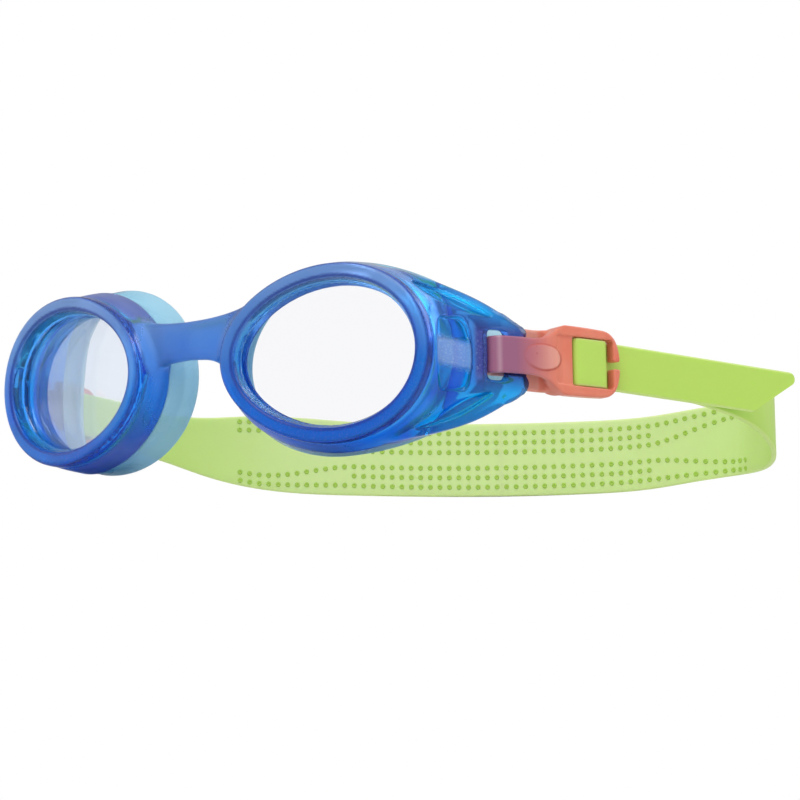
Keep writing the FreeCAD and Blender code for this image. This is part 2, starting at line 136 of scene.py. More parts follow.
def stencil(points, pitch=0.12, margin=12.0):
    """The signed distance to a closed outline in a plane, as a function that reads it from a fine grid."""
    points = np.asarray(points, float)
    low, high = points.min(0) - margin, points.max(0) + margin
    us, vs = np.arange(low[0], high[0], pitch), np.arange(low[1], high[1], pitch)
    u, v = np.meshgrid(us, vs, indexing="ij")
    nearest, inside = np.full(u.shape, 1e9), np.zeros(u.shape, bool)
    for a, b in zip(points, np.roll(points, -1, 0)):
        run = b - a
        share = np.clip(((u - a[0]) * run[0] + (v - a[1]) * run[1]) / max(run @ run, 1e-12), 0, 1)
        nearest = np.minimum(nearest, (u - a[0] - run[0] * share) ** 2 + (v - a[1] - run[1] * share) ** 2)
        if a[1] != b[1]:
            crosses = ((a[1] > v) != (b[1] > v)) & (u < (b[0] - a[0]) * (v - a[1]) / (b[1] - a[1]) + a[0])
            inside ^= crosses
    grid = (np.sqrt(nearest) * np.where(inside, -1, 1)).astype(np.float32)

    def read(p, q):
        x = np.clip((p - low[0]) / pitch, 0, len(us) - 1.001)
        y = np.clip((q - low[1]) / pitch, 0, len(vs) - 1.001)
        i, j = x.astype(int), y.astype(int)
        s, t = x - i, y - j
        return ((grid[i, j] * (1 - s) + grid[i + 1, j] * s) * (1 - t)
                + (grid[i, j + 1] * (1 - s) + grid[i + 1, j + 1] * s) * t)
    return read


def slopes_of(field, p, reach=0.03):
    """The field's gradient at points."""
    out = np.empty_like(p)
    for axis in range(3):
        step = np.zeros(3)
        step[axis] = reach
        out[:, axis] = (field(*(p + step).T) - field(*(p - step).T)) / (2 * reach)
    return out


def settle(field, p, pitch, rounds=2):
    """Moves points onto the field's surface."""
    for _ in range(rounds):
        slope = slopes_of(field, p)
        size = np.maximum((slope ** 2).sum(1), 0.05)
        move = (field(*p.T) / size)[:, None] * slope
        far = np.maximum(np.linalg.norm(move, axis=1) / (0.6 * pitch), 1)
        p = p - move / far[:, None]
    return p


def oval(u, v, wide, tall):
    """Close to the distance to an ellipse with half sizes wide and tall."""
    first = np.sqrt((u / wide) ** 2 + (v / tall) ** 2)
    second = np.sqrt((u / wide ** 2) ** 2 + (v / tall ** 2) ** 2)
    return first * (first - 1) / np.maximum(second, 1e-6)


CORNERS = np.array([(i, j, k) for i in (0, 1) for j in (0, 1) for k in (0, 1)])
EDGES = [(a, b) for a in range(8) for b in range(a + 1, 8) if abs(CORNERS[a] - CORNERS[b]).sum() == 1]


def net(field, low, high, pitch, mirror=False):
    """An even quad mesh on the surface where field is zero. mirror says that the field reads abs(x)."""
    axes = [np.arange(a, b + pitch, pitch) for a, b in zip(low, high)]
    if mirror:
        axes[0] = np.arange(pitch / 2, high[0] + pitch, pitch)
    values = field(*(a.astype(np.float32) for a in np.meshgrid(*axes, indexing="ij")))
    if mirror:
        values = np.concatenate([values[::-1], values])
        axes[0] = np.concatenate([-axes[0][::-1], axes[0]])
    origin = np.array([a[0] for a in axes])
    filled = values < 0
    shape = tuple(n - 1 for n in values.shape)
    count = np.zeros(shape, np.int8)
    for i, j, k in CORNERS:
        count += filled[i:i + shape[0], j:j + shape[1], k:k + shape[2]]
    cells = np.argwhere((count > 0) & (count < 8))
    corner = np.stack([values[tuple((cells + c).T)] for c in CORNERS], 1)
    total, hits = np.zeros((len(cells), 3)), np.zeros(len(cells))
    for a, b in EDGES:
        va, vb = corner[:, a], corner[:, b]
        cross = (va < 0) != (vb < 0)
        share = np.where(cross, va / np.where(cross, va - vb, 1), 0)
        total += np.where(cross[:, None], CORNERS[a] + (CORNERS[b] - CORNERS[a]) * share[:, None], 0)
        hits += cross
    points = origin + (cells + total / hits[:, None]) * pitch
    index = np.full(shape, -1, np.int32)
    index[tuple(cells.T)] = np.arange(len(cells))
    faces = []
    for axis in range(3):
        one, two = (axis + 1) % 3, (axis + 2) % 3
        ahead = np.take(filled, range(1, filled.shape[axis]), axis)
        here = np.take(filled, range(filled.shape[axis] - 1), axis)
        at = np.argwhere(here != ahead)
        at = at[(at[:, one] > 0) & (at[:, two] > 0) & (at[:, one] < shape[one]) & (at[:, two] < shape[two])]
        outward = here[tuple(at.T)]
        quad = []
        for d1, d2 in ((-1, -1), (0, -1), (0, 0), (-1, 0)):
            cell = at.copy()
            cell[:, one] += d1
            cell[:, two] += d2
            quad.append(index[tuple(cell.T)])
        quad = np.stack(quad, 1)
        quad[~outward] = quad[~outward][:, ::-1]
        faces.append(quad)
    faces = np.concatenate(faces)

    for _ in range(3):
        points = settle(field, np.stack([evened(row, faces, 1) for row in points.T], 1), pitch, 1)
    return settle(field, points, pitch), faces


def evened(values, faces, rounds):
    """Values at points, averaged with their neighbours' a few times."""
    ends = np.concatenate([faces[:, [i, (i + 1) % 4]] for i in range(4)])
    degree = np.bincount(ends[:, 0], minlength=len(values))
    for _ in range(rounds):
        values = 0.4 * values + 0.6 * np.bincount(ends[:, 0], values[ends[:, 1]], len(values)) / degree
    return values


def depth_through(field, points, most=7.0, steps=28):
    """How thick the material is straight in from each point."""
    inward = -slopes_of(field, points)
    inward /= np.maximum(np.linalg.norm(inward, axis=1), 1e-6)[:, None]
    found = np.full(len(points), most)
    for reach in np.linspace(0.4, most, steps):
        out = (field(*(points + inward * reach).T) > 0) & (found == most)
        found[out] = reach
    return found


# ------------ meshes

def new_object(name, points, faces, body, replaced=()):
    """A smooth piece with every face turned outward. Faces of more than four sides are flat caps."""
    mesh = bpy.data.meshes.new(name)
    mesh.from_pydata(to_row(points).tolist(), [], [list(map(int, f)) for f in faces])
    work = bmesh.new()
    work.from_mesh(mesh)
    bmesh.ops.recalc_face_normals(work, faces=work.faces)
    for face in work.faces:
        face.smooth = len(face.verts) <= 4
        if not face.smooth:
            for edge in face.edges:
                edge.smooth = False
    work.to_mesh(mesh)
    work.free()
    item = bpy.data.objects.new(name, mesh)
    bpy.context.scene.collection.objects.link(item)
    if body:
        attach(item, body)
    if replaced:
        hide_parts(*replaced)
    return item


def mark(item, name, values):
    """Stores one number at each point of a piece, for its material."""
    layer = item.data.attributes.new(name, "FLOAT", "POINT")
    layer.data.foreach_set("value", np.asarray(values, np.float32))


def grid_faces(rows, columns, closed_rows=False):
    """Quads over rows of points that each close on themselves, stored row by row."""
    faces = []
    for i in range(rows if closed_rows else rows - 1):
        for j in range(columns):
            a, b = i * columns, ((i + 1) % rows) * columns
            k = (j + 1) % columns
            faces.append((a + j, a + k, b + k, b + j))
    return faces


def tube_faces(rows, columns):
    """The quads of grid_faces() and a flat cap on the first and last row."""
    last = (rows - 1) * columns
    return grid_faces(rows, columns) + [tuple(range(columns))[::-1], tuple(range(last, last + columns))]


def around(count):
    """Even angles round a circle."""
    return np.linspace(0, 2 * math.pi, count, endpoint=False)


def travelled(points):
    """How far each point of a line is from its start."""
    return np.concatenate([[0], np.cumsum(np.linalg.norm(np.diff(points, axis=0), axis=1))])


# ------------ materials

class Nodes:
    """Builds the nodes of a new material (or world) with few words."""

    def __init__(self, name, kind="Material"):
        self.owner = getattr(bpy.data, kind.lower() + "s").new(name)
        self.owner.use_nodes = True
        self.tree = self.owner.node_tree
        self.tree.nodes.clear()
        self.output = self.tree.nodes.new("ShaderNodeOutput" + kind)

    def add(self, kind, inputs=None, **settings):
        node = self.tree.nodes.new("ShaderNode" + kind)
        for key, value in settings.items():
            setattr(node, key, value)
        for key, value in (inputs or {}).items():
            if isinstance(value, bpy.types.NodeSocket):
                self.tree.links.new(value, node.inputs[key])
            else:
                colour = node.inputs[key].type == "RGBA"
                node.inputs[key].default_value = (*value[:3], 1) if colour else value
        return node

    def ramp(self, factor, stops):
        node = self.add("ValToRGB", {"Fac": factor})
        ramp = node.color_ramp
        while len(ramp.elements) < len(stops):
            ramp.elements.new(0.5)
        for element, (place, colour) in zip(ramp.elements, stops):
            element.position = place
            element.color = (*colour, 1)
        return node.outputs["Color"]

    def span(self, value, low, high, to_low=0.0, to_high=1.0):
        node = self.add("MapRange", {"Value": value, "From Min": low, "From Max": high,
                                     "To Min": to_low, "To Max": to_high})
        return node.outputs["Result"]

    def mix(self, factor, a, b):
        node = self.add("Mix", {0: factor, 6: a, 7: b}, data_type="RGBA")
        return node.outputs[2]

    def tint(self, colour, amount, strength, towards):
        """colour, mixed towards another by amount (a mark's name or a socket) times strength."""
        if isinstance(amount, str):
            amount = self.value(amount)
        return self.mix(self.math("MULTIPLY", amount, strength), colour, towards)

    def math(self, operation, *values):
        node = self.add("Math", operation=operation)
        for socket, value in zip(node.inputs, values):
            if isinstance(value, bpy.types.NodeSocket):
                self.tree.links.new(value, socket)
            else:
                socket.default_value = value
        return node.outputs[0]

    def place(self):
        return self.add("TexCoord").outputs["Object"]

    def noise(self, scale, detail=3.0, rough=0.5):
        node = self.add("TexNoise", {"Vector": self.place(), "Scale": scale, "Detail": detail,
                                     "Roughness": rough})
        return node.outputs["Fac"]

    def value(self, name):
        return self.add("Attribute", attribute_name=name).outputs["Fac"]

    def bump(self, height, strength, distance):
        node = self.add("Bump", {"Height": height, "Strength": strength, "Distance": distance})
        return node.outputs["Normal"]

    def finish(self, shader):
        self.tree.links.new(shader, self.output.inputs["Surface"])
        return self.owner


def rgb(red, green, blue):
    """A screen colour from 0 to 255 as linear light."""
    def linear(value):
        value /= 255
        return value / 12.92 if value <= 0.04045 else ((value + 0.055) / 1.055) ** 2.4
    return tuple(linear(v) for v in (red, green, blue))


def frame_material():
    """Satin see-through blue: bright azure where it is thin, deeper and more violet where it is thick. Its
    colours also change with height as painted light, paler towards the top as if lit from above.
    """
    n = Nodes("frosted_blue")
    cloud, grain = n.noise(90, 2), n.noise(2600, 2, 0.7)
    # Painted light: the frame's height sets paler colours towards the top and deeper ones towards the bottom,
    # standing in for light from above.
    height = n.span(n.add("SeparateXYZ", {"Vector": n.place()}).outputs["Z"], 0.004, 0.038)
    painted_top_light = n.math("ADD", height, n.span(cloud, 0.3, 0.7, -0.08, 0.08))
    heavy = n.ramp(painted_top_light, [(0.0, rgb(0, 96, 222)), (0.3, rgb(10, 108, 224)), (0.65, rgb(84, 140, 222)),
                         (1.0, rgb(140, 166, 220))])
    light = n.ramp(painted_top_light, [(0.0, rgb(0, 158, 245)), (0.5, rgb(0, 166, 245)), (1.0, rgb(60, 186, 242))])
    # The cup wall's colours by height are painted light and shade. The ring face's colours below, paler
    # towards the top, are a painted sheen.
    cup = n.ramp(painted_top_light, [(0.0, rgb(120, 124, 200)), (0.14, rgb(50, 96, 208)), (0.36, rgb(0, 124, 228)),
                       (0.6, rgb(24, 104, 214)), (0.82, rgb(92, 106, 186)), (1.0, rgb(120, 128, 196))])
    satin_and_painted_light = n.ramp(painted_top_light, [(0.0, rgb(0, 116, 230)), (0.35, rgb(0, 124, 230)), (0.7, rgb(92, 152, 230)),
                         (1.0, rgb(128, 174, 236))])
    thick = n.math("ADD", n.value("thick"), n.span(cloud, 0.3, 0.7, -0.2, 0.2))
    colour = n.mix(n.span(thick, 1.4, 4.4), light, heavy)
    # Some of these tints are painted light: pale cyan highlight lines at the bezel's groove and inner bevel,
    # and dark navy lines of shade along the ring's edges.
    for mark_name, strength, towards in (
            ("inner", 0.6, rgb(30, 120, 235)), ("web", 0.6, rgb(58, 74, 182)), ("satin_and_painted_light", 0.85, cup),
            ("sunk", 0.7, rgb(0, 150, 240)), ("deep", 0.8, rgb(0, 72, 205)),
            ("painted_highlight", 0.85, rgb(80, 200, 250)), ("face", 0.85, satin_and_painted_light),
            ("frost", 0.75, rgb(150, 180, 234)), ("edge", 0.8, rgb(0, 44, 160)),
            ("sky", 0.85, rgb(10, 172, 244)), ("veil", 0.85, rgb(54, 46, 140))):
        colour = n.tint(colour, mark_name, strength, towards)
    frost = n.value("frost")
    sparkle = n.math("MULTIPLY", frost, n.span(grain, 0.5, 0.7, 0.0, 0.5))
    colour = n.mix(n.math("ADD", n.span(grain, 0.55, 0.75, 0.0, 0.05), sparkle), colour, rgb(205, 220, 250))
    soft = n.math("MULTIPLY", n.math("MAXIMUM", n.value("face"), n.value("satin_and_painted_light")), 0.7)
    matte = n.math("MAXIMUM", frost, soft)
    rough = n.math("ADD", n.span(matte, 0, 1, 0.14, 0.42), n.span(grain, 0.3, 0.7, -0.02, 0.03))
    clear = n.add("BsdfPrincipled", {
        "Base Color": colour, "Roughness": rough, "IOR": 1.42,
        "Transmission Weight": n.span(matte, 0, 1, 0.88, 0.35), "Normal": n.bump(grain, 0.08, 0.00003)})
    return n.finish(clear.outputs[0])


def lens_material():
    """Clear polycarbonate with a faint cool tint, deeper at its edge."""
    n = Nodes("clear_lens")
    cloud = n.noise(60, 2)
    facing = n.add("LayerWeight", {"Blend": 0.3}).outputs["Facing"]
    tint = n.mix(n.span(n.math("ADD", facing, n.span(cloud, 0.3, 0.7, -0.02, 0.02)), 0.2, 0.9),
                 rgb(252, 252, 253), rgb(226, 240, 252))
    see = n.add("BsdfTransparent", {"Color": tint})
    rough = n.span(cloud, 0.3, 0.7, 0.03, 0.07)
    gloss = n.add("BsdfGlossy", {"Color": rgb(235, 242, 250), "Roughness": rough})
    share = n.math("MULTIPLY", n.add("Fresnel", {"IOR": 1.35}).outputs[0], 0.55)
    mixed = n.add("MixShader", {0: share, 1: see.outputs[0], 2: gloss.outputs[0]})
    return n.finish(mixed.outputs[0])


def gasket_material():
    """Soft see-through aqua, milky in the flat. It darkens to navy where its surface is seen edge-on, mostly
    along the outer lip: a painted dark outline. A painted highlight makes it paler towards the end that meets
    the face.
    """
    n = Nodes("aqua_seal")
    cloud = n.noise(120, 2)
    facing = n.math("ADD", n.add("LayerWeight", {"Blend": 0.45}).outputs["Facing"],
                    n.span(cloud, 0.3, 0.7, -0.04, 0.04))
    pale = rgb(190, 230, 244)
    # Painted shade: the colour runs to dark navy where the surface is seen edge-on, giving an outline along
    # the lip.
    colour = n.ramp(facing, [(0.0, pale), (0.55, rgb(166, 218, 240)), (0.84, rgb(118, 194, 226)),
                             (0.93, rgb(40, 110, 160)), (1.0, rgb(4, 40, 90))])
    # Painted highlight: the seal turns paler towards the end that meets the face.
    colour = n.tint(colour, "rim", 0.5, pale)
    see = n.add("BsdfTransparent", {"Color": colour})
    skin = n.add("BsdfPrincipled", {
        "Base Color": colour, "Roughness": n.span(cloud, 0.3, 0.7, 0.22, 0.3), "IOR": 1.41,
        "Normal": n.bump(cloud, 0.1, 0.0002)})
    milky = n.span(facing, 0.0, 0.9, 0.5, 0.92)
    mixed = n.add("MixShader", {0: milky, 1: see.outputs[0], 2: skin.outputs[0]})
    return n.finish(mixed.outputs[0])


def buckle_material():
    """Coral plastic that lets some of the blue behind it show at the neck."""
    n = Nodes("coral_plastic")
    cloud = n.noise(140, 3)
    colour = n.mix(n.span(cloud, 0.3, 0.7), rgb(236, 126, 102), rgb(244, 146, 120))
    # Two of these tints are painted light: a pale highlight line across the rounded neck and a dark line of
    # shade round the thumb pad.
    for mark_name, strength, towards in (
            ("thin", 1.0, rgb(242, 182, 168)), ("pad", 0.9, rgb(244, 172, 154)),
            ("neck", 0.92, rgb(158, 102, 140)), ("roll", 0.5, rgb(214, 184, 196)),
            ("line", 0.75, rgb(196, 78, 62))):
        colour = n.tint(colour, mark_name, strength, towards)
    shader = n.add("BsdfPrincipled", {
        "Base Color": colour, "Roughness": n.span(cloud, 0.3, 0.7, 0.26, 0.36), "IOR": 1.45,
        "Subsurface Weight": 0.15, "Subsurface Radius": (0.004, 0.0015, 0.001), "Subsurface Scale": 0.4,
        "Transmission Weight": 0.12, "Normal": n.bump(n.noise(1500, 2), 0.12, 0.00004)})
    return n.finish(shader.outputs[0])


def strap_material(name="lime_silicone", light=rgb(212, 233, 160), deep=rgb(188, 223, 100)):
    """Matt silicone, paler across the middle of the back and stronger in colour at the ends."""
    n = Nodes(name)
    cloud = n.noise(45, 3)
    colour = n.mix(n.math("ADD", n.value("end"), n.span(cloud, 0.3, 0.7, -0.06, 0.06)), light, deep)
    colour = n.mix(n.value("edge"), colour, rgb(222, 238, 165))
    shader = n.add("BsdfPrincipled", {
        "Base Color": colour, "Roughness": n.span(cloud, 0.3, 0.7, 0.42, 0.52), "IOR": 1.42,
        "Subsurface Weight": 0.2, "Subsurface Radius": (0.002, 0.003, 0.001), "Subsurface Scale": 0.5,
        "Normal": n.bump(n.noise(1100, 3), 0.15, 0.00005)})
    return n.finish(shader.outputs[0])


# ------------ the lens's own axes

def turn(axis, degrees):
    return np.array(Matrix.Rotation(math.radians(degrees), 3, axis), float)


LENS_TURN = turn("Z", 12.0) @ turn("X", -0.7) @ turn("Y", -1.5)
LENS_CENTRE = np.array((33.1, 0.0, 20.8))
FAR = 36.0


def to_lens(x, y, z):
    """Design point to (across to the temple, back, up) at the left lens."""
    p = (x - LENS_CENTRE[0], y - LENS_CENTRE[1], z - LENS_CENTRE[2])
    return tuple(sum(p[i] * LENS_TURN[i, j] for i in range(3)) for j in range(3))


def from_lens(points):
    return np.asarray(points, float) @ LENS_TURN.T + LENS_CENTRE


class Skin:
    """Egg-shaped outlines at depths: half widths to nose and temple, half heights up and down, the depth, and
    how much taller the outline gets towards the temple (and how much lower towards the nose)."""

    def __init__(self, *sections):
        sections = [(s + (0.088,) * 2 if len(s) == 5 else s + s[5:6])[:7] for s in sections]
        depths = [s[4] for s in sections]
        self.nose, self.temple, self.top, self.bottom, self.temple_egg, self.nose_egg = (
            table(depths, [s[i] for s in sections]) for i in (0, 1, 2, 3, 5, 6))

    def distance(self, u, n, w):
        wide = np.where(u > 0, self.temple(n), self.nose(n))
        egg = np.where(u > 0, self.temple_egg(n), self.nose_egg(n))
        tall = np.where(w > 0, self.top(n), self.bottom(n)) * (1 + egg * np.clip(u / wide, -1.2, 1.2))
        return oval(u, w, wide, tall)

    def ring(self, angle, n, inset=0.0):
        """Points of the outline at angles and depths, moved inward by inset."""
        c, s = np.cos(angle), np.sin(angle)
        wide = np.where(c > 0, self.temple(n), self.nose(n)) - inset
        tall = np.where(s > 0, self.top(n), self.bottom(n)) - inset
        egg = np.where(c > 0, self.temple_egg(n), self.nose_egg(n))
        return np.stack([wide * c, n, tall * s * (1 + egg * c)], -1)


BEZEL = Skin((22.8, 22.7, 18.2, 18.2, 0.0), (22.9, 22.9, 18.35, 18.35, 0.8), (23.1, 23.4, 18.55, 18.55, 2.6))
WALL = Skin((22.0, 22.6, 17.9, 17.9, 2.2, 0.088), (22.2, 23.7, 18.1, 18.1, 3.0, 0.075, 0.08),
            (23.4, 24.3, 19.0, 18.9, 4.6, 0.05, 0.07), (25.0, 24.2, 20.2, 19.7, 9.0, 0.0, 0.05),
            (26.0, 25.6, 22.5, 21.1, 22.0, -0.06, 0.04), (27.0, 28.0, 25.0, 22.4, FAR, -0.1, 0.03))
HOLLOW = Skin((20.6, 20.6, 16.05, 16.05, -0.6), (19.9, 19.9, 15.35, 15.35, 0.4),
              (19.6, 19.6, 15.05, 15.05, 1.4), (19.0, 19.0, 14.45, 14.45, 3.2),
              (18.9, 18.9, 14.35, 14.35, 5.6),
              (21.2, 20.3, 17.0, 16.8, 8.2, 0.01, 0.05), (23.9, 23.4, 20.4, 19.1, 22.0, -0.06, 0.04),
              (25.1, 26.0, 23.1, 20.5, FAR, -0.1, 0.03))
LENS_FRONT, LENS_REAR = 3.2, 5.2
LENS = Skin((20.5, 20.5, 15.7, 15.7, LENS_FRONT), (20.5, 20.5, 15.7, 15.7, LENS_REAR))

EDGE_AT = (-40.0, -25.0, 0.0, 16.0, 30.0, 40.0)
wall_edge = table(EDGE_AT, (7.8, 8.0, 9.2, 13.6, 21.5, 29.0))
rim_edge = table(EDGE_AT, (17.5, 16.0, 14.7, 20.0, 28.5, 36.0))


# ------------ the frame moulding

MIDDLE_Z = 20.8
# The wing's side is drawn in a level direction, DRAWN along, starting at DRAWN_FROM beside the ring.
DRAWN = (math.cos(math.radians(32.3)), math.sin(math.radians(32.3)))
DRAWN_FROM, DRAWN_SCALE = 49.4, 0.8637
WING_END = np.array((64.7, 24.5))


def side_points(points):
    """Closed outline in wing units from (level, height) points."""
    return smooth_closed([((level - DRAWN_FROM) / DRAWN_SCALE, height) for level, height in points])


wing_thick = table((-12.0, 0.0, 6.0, 12.0, 18.0, 25.0), (5.5, 4.4, 3.2, 2.8, 2.0, 1.7))
WING_SIDE = stencil(side_points([
    (37.5, 6.0), (38.5, 13.0), (40.5, 16.6), (43.2, 17.3), (46.3, 16.5), (51.7, 14.6), (57.7, 11.9),
    (62.8, 9.0), (66.7, 6.5), (69.3, 5.1), (70.3, 3.6), (70.9, -1.0), (71.7, -4.7), (70.5, -7.1),
    (67.6, -9.4), (62.4, -12.3), (57.2, -14.5), (51.8, -16.0), (46.5, -17.0), (42.0, -17.2), (39.0, -14.5),
    (37.5, -7.0)]))
POCKET = stencil(smooth_closed([
    (2.6, 5.9), (5.2, 6.4), (8.0, 6.2), (9.6, 3.6), (10.2, -1.0), (9.8, -5.0), (8.6, -7.9), (5.4, -8.3),
    (2.6, -7.7), (2.2, -1.0)]))
LEAF_TOP = stencil(smooth_closed([
    (-3.5, 14.2), (3.0, 12.4), (9.0, 10.1), (15.2, 6.9), (9.6, 7.6), (3.0, 10.0)]))
LEAF_LOW = stencil(smooth_closed([
    (-3.5, -15.6), (3.0, -14.2), (9.0, -12.0), (15.0, -8.6), (9.0, -9.6), (1.5, -12.9)]))
POCKET_DEEP, LEAF_DEEP = 1.7, 1.1
SLOT_HIGH, SLOT_LONG, BAR_HALF, BAR_THICK = 10.3, 7.4, 2.9, 0.95
WING_FROM, WING_FROM_DEPTH, OUTLINE_HALF = 23.6, 3.8, 18.3
BAR_TURN = math.radians(70.0)
BRIDGE_AT = (0.0, 4.5, 9.0, 12.5, 15.5, 20.0)
bridge_tall = table(BRIDGE_AT, (4.0, 4.25, 5.3, 7.5, 9.9, 12.6))
bridge_deep = table(BRIDGE_AT, (2.4, 2.4, 2.7, 3.2, 3.6, 4.0))
bridge_rise = table(BRIDGE_AT, (5.3, 5.25, 4.8, 3.6, 2.4, 1.4))
bridge_front = table(BRIDGE_AT, (-0.8, -0.6, 0.0, 1.0, 2.4, 4.6))


def ramped(value):
    """0 below 0, 1 above 1, smooth between."""
    value = np.clip(value, 0, 1)
    return value * value * (3 - 2 * value)


def wing_axes(x, y, height):
    """Along the wing's drawn side, and outward from its outer skin, which runs from the ring's outline to
    the bar at every height: a slight bulge at the middle, hollow towards the top and bottom edges."""
    along = (x * DRAWN[0] + y * DRAWN[1] - DRAWN_FROM) / DRAWN_SCALE
    across = WING_FROM * np.sqrt(np.maximum(1 - (height / OUTLINE_HALF) ** 2, 0.02))
    start_x, start_y = (LENS_CENTRE[i] + across * LENS_TURN[i, 0] + WING_FROM_DEPTH * LENS_TURN[i, 1]
                        for i in (0, 1))
    run_x, run_y = WING_END[0] - start_x, WING_END[1] - start_y
    run = np.sqrt(run_x ** 2 + run_y ** 2)
    share = np.clip(((x - start_x) * run_x + (y - start_y) * run_y) / run ** 2, 0, 1)
    bulge = 1.1 - 2.9 * ramped((np.abs(height) - 6.5) / 7.5)
    out = ((x - start_x) * run_y - (y - start_y) * run_x) / run - bulge * 4 * share * (1 - share)
    return along, out


def frame_field(x, y, z):
    """Below zero inside the one moulding: two cups, the bridge and two wings. Both sides are alike."""
    x = np.abs(x)
    u, n, w = to_lens(x, y, z)
    height = z - MIDDLE_Z
    bezel = smax(BEZEL.distance(u, n, w), smax(-n, n - 2.6, 0.3), 0.9)
    edge = (n - wall_edge(u)) / np.sqrt(1 + ((wall_edge(u + 0.5) - wall_edge(u - 0.5))) ** 2)
    wall = smax(smax(WALL.distance(u, n, w), edge, 0.8), 2.2 - n, 0.3)

    along, out = wing_axes(x, y, height)
    side = WING_SIDE(along, height)
    plate = smax(smax(out, -out - wing_thick(along), 1.2), side * 0.95, 1.5)
    bar_u = (x - BAR[0]) * math.cos(BAR_TURN) + (y - BAR[1]) * math.sin(BAR_TURN)
    bar_v = -(x - BAR[0]) * math.sin(BAR_TURN) + (y - BAR[1]) * math.cos(BAR_TURN)
    bar_wide = BAR_HALF + 0.8 * np.clip((np.abs(z - BAR[2]) - 3.9) / 1.2, 0, 1)
    bar = smax(oval(bar_u, bar_v, bar_wide, BAR_THICK), side * 0.95, 1.5)
    slot_u = np.abs(bar_u + SLOT_LONG / 2) - SLOT_LONG / 2
    slot_w = np.abs(z - BAR[2]) - SLOT_HIGH / 2
    slot = smax(smax(slot_u, slot_w, 1.6), np.abs(bar_v) - 8, 0.3)
    plate = smax(plate, bar_u - 1.0, 1.0)
    plate = smin(smax(plate, -slot, 0.7), bar, 0.6)
    body = smax(smin(wall, plate, 2.0), 2.2 - n, 0.3)

    frosted = np.abs(height + 0.95) - 3.0
    pocket_floor = -POCKET_DEEP - out + 0.45 * np.clip(0.5 - frosted / 0.6, 0, 1)
    body = smax(body, -smax(POCKET(along, height), pocket_floor, 0.7), 0.45)
    for leaf in (LEAF_TOP, LEAF_LOW):
        body = smax(body, -smax(leaf(along, height), -LEAF_DEEP - out, 0.9), 0.5)
    body = smin(body, bezel, 0.25)

    down = np.abs(height - bridge_rise(x)) / bridge_tall(x)
    back = np.abs(y - bridge_front(x)) / bridge_deep(x)
    power = 2.67
    level = np.maximum(down ** power + back ** power, 1e-9) ** (1 / power)
    lean = level ** (1 - power) * np.sqrt((down ** (power - 1) / bridge_tall(x)) ** 2
                                          + (back ** (power - 1) / bridge_deep(x)) ** 2)
    bridge = smax((level - 1) / np.maximum(lean, 0.08), x - 17.5, 1.0)
    body = smin(body, bridge, 2.2)

    body = smax(body, -HOLLOW.distance(u, n, w), 0.5)
    play = 0.06
    groove = smax(LENS_FRONT - play - n, n - LENS_REAR - play, 0.1)
    return smax(body, -smax(LENS.distance(u, n, w) - play, groove, 0.1), 0.1)


def shown_in(value, low, high, soft):
    """1 between two numbers, falling to 0 over a soft edge."""
    return np.clip((value - low) / soft + 0.5, 0, 1) * np.clip((high - value) / soft + 0.5, 0, 1)


def frame_marks(points):
    """Numbers for the moulding's material, by name."""
    x, y, z = np.abs(points[:, 0]), points[:, 1], points[:, 2]
    height = z - MIDDLE_Z
    along, out = wing_axes(x, y, height)
    u, n, w = to_lens(x, y, z)
    outside, inside = BEZEL.distance(u, n, w), HOLLOW.distance(u, n, w)
    behind = n > 2.8
    wing = shown_in(out, -0.5, 0.6, 0.2)
    sunk = shown_in(out, -2.6, -0.6, 0.3) * shown_in(POCKET(along, height), -9, 0.1, 0.4)
    pocket = sunk * shown_in(height + 0.22 * (along - 6.0), -3.7, 2.1, 1.5) * behind
    strip = shown_in(along, 10.9, 14.0, 0.8) * shown_in(height, -6.5, 4.5, 5.0) * wing
    web = shown_in(along, -6.0, 11.0, 3.0) * shown_in(out, -0.5, 0.6, 0.3) * (outside > 0.6)
    veil = shown_in(along, 10.8, 60.0, 1.2) * shown_in(height, -6.5, 6.0, 4.0) * behind
    outer_edges = np.clip((np.abs(height) + 0.35 * along - 9.5) / 3.0, 0, 1)
    sky = shown_in(along, -3.0, 60.0, 5.0) * outer_edges * behind
    # Painted highlights: pale cyan lines in the groove behind the bezel and along the hollow's inner bevel.
    groove = shown_in(n, 2.5, 3.3, 0.25) * shown_in(outside, -1.6, 0.3, 0.3)
    bevel = shown_in(inside, -0.35, 0.6, 0.2) * shown_in(n, 1.0, 3.3, 0.5)
    bridge = shown_in(x, -30, 12.5, 4.0) * (outside > 0.3)
    # The ring face and the cup wall take the colours painted by height as light from above. Both are also
    # rougher.
    face = shown_in(n, -1, 0.6, 0.3) * shown_in(outside, -30, -0.12, 0.2)
    cup = shown_in(WALL.distance(u, n, w), -0.5, 0.8, 0.3) * shown_in(u, -60, 4.0, 8.0)
    # Painted shade: dark navy lines along the ring face's outer edge and the hollow's inner edge.
    front_edge = shown_in(outside, -0.45, 0.2, 0.25) * shown_in(n, 0.15, 1.0, 0.3)
    inner_edge = shown_in(inside, -0.2, 0.45, 0.25) * shown_in(n, -0.4, 0.35, 0.3)
    return {
        "face": np.maximum(face, bridge * 0.8), "satin_and_painted_light": cup * shown_in(n, 3.4, 60, 1.0) * (1 - bridge),
        "web": np.maximum(web, strip), "frost": np.maximum(pocket, strip * 0.4),
        "edge": np.maximum(front_edge, inner_edge), "painted_highlight": np.maximum(groove, bevel),
        "deep": shown_in(n, 0.75, 2.5, 0.4) * shown_in(outside, -0.5, 0.5, 0.3),
        "inner": shown_in(inside, -0.4, 0.6, 0.2) * shown_in(n, 5.0, 60.0, 0.6),
        "sunk": sunk * (1 - pocket) * behind, "veil": veil, "sky": sky * (1 - veil)}


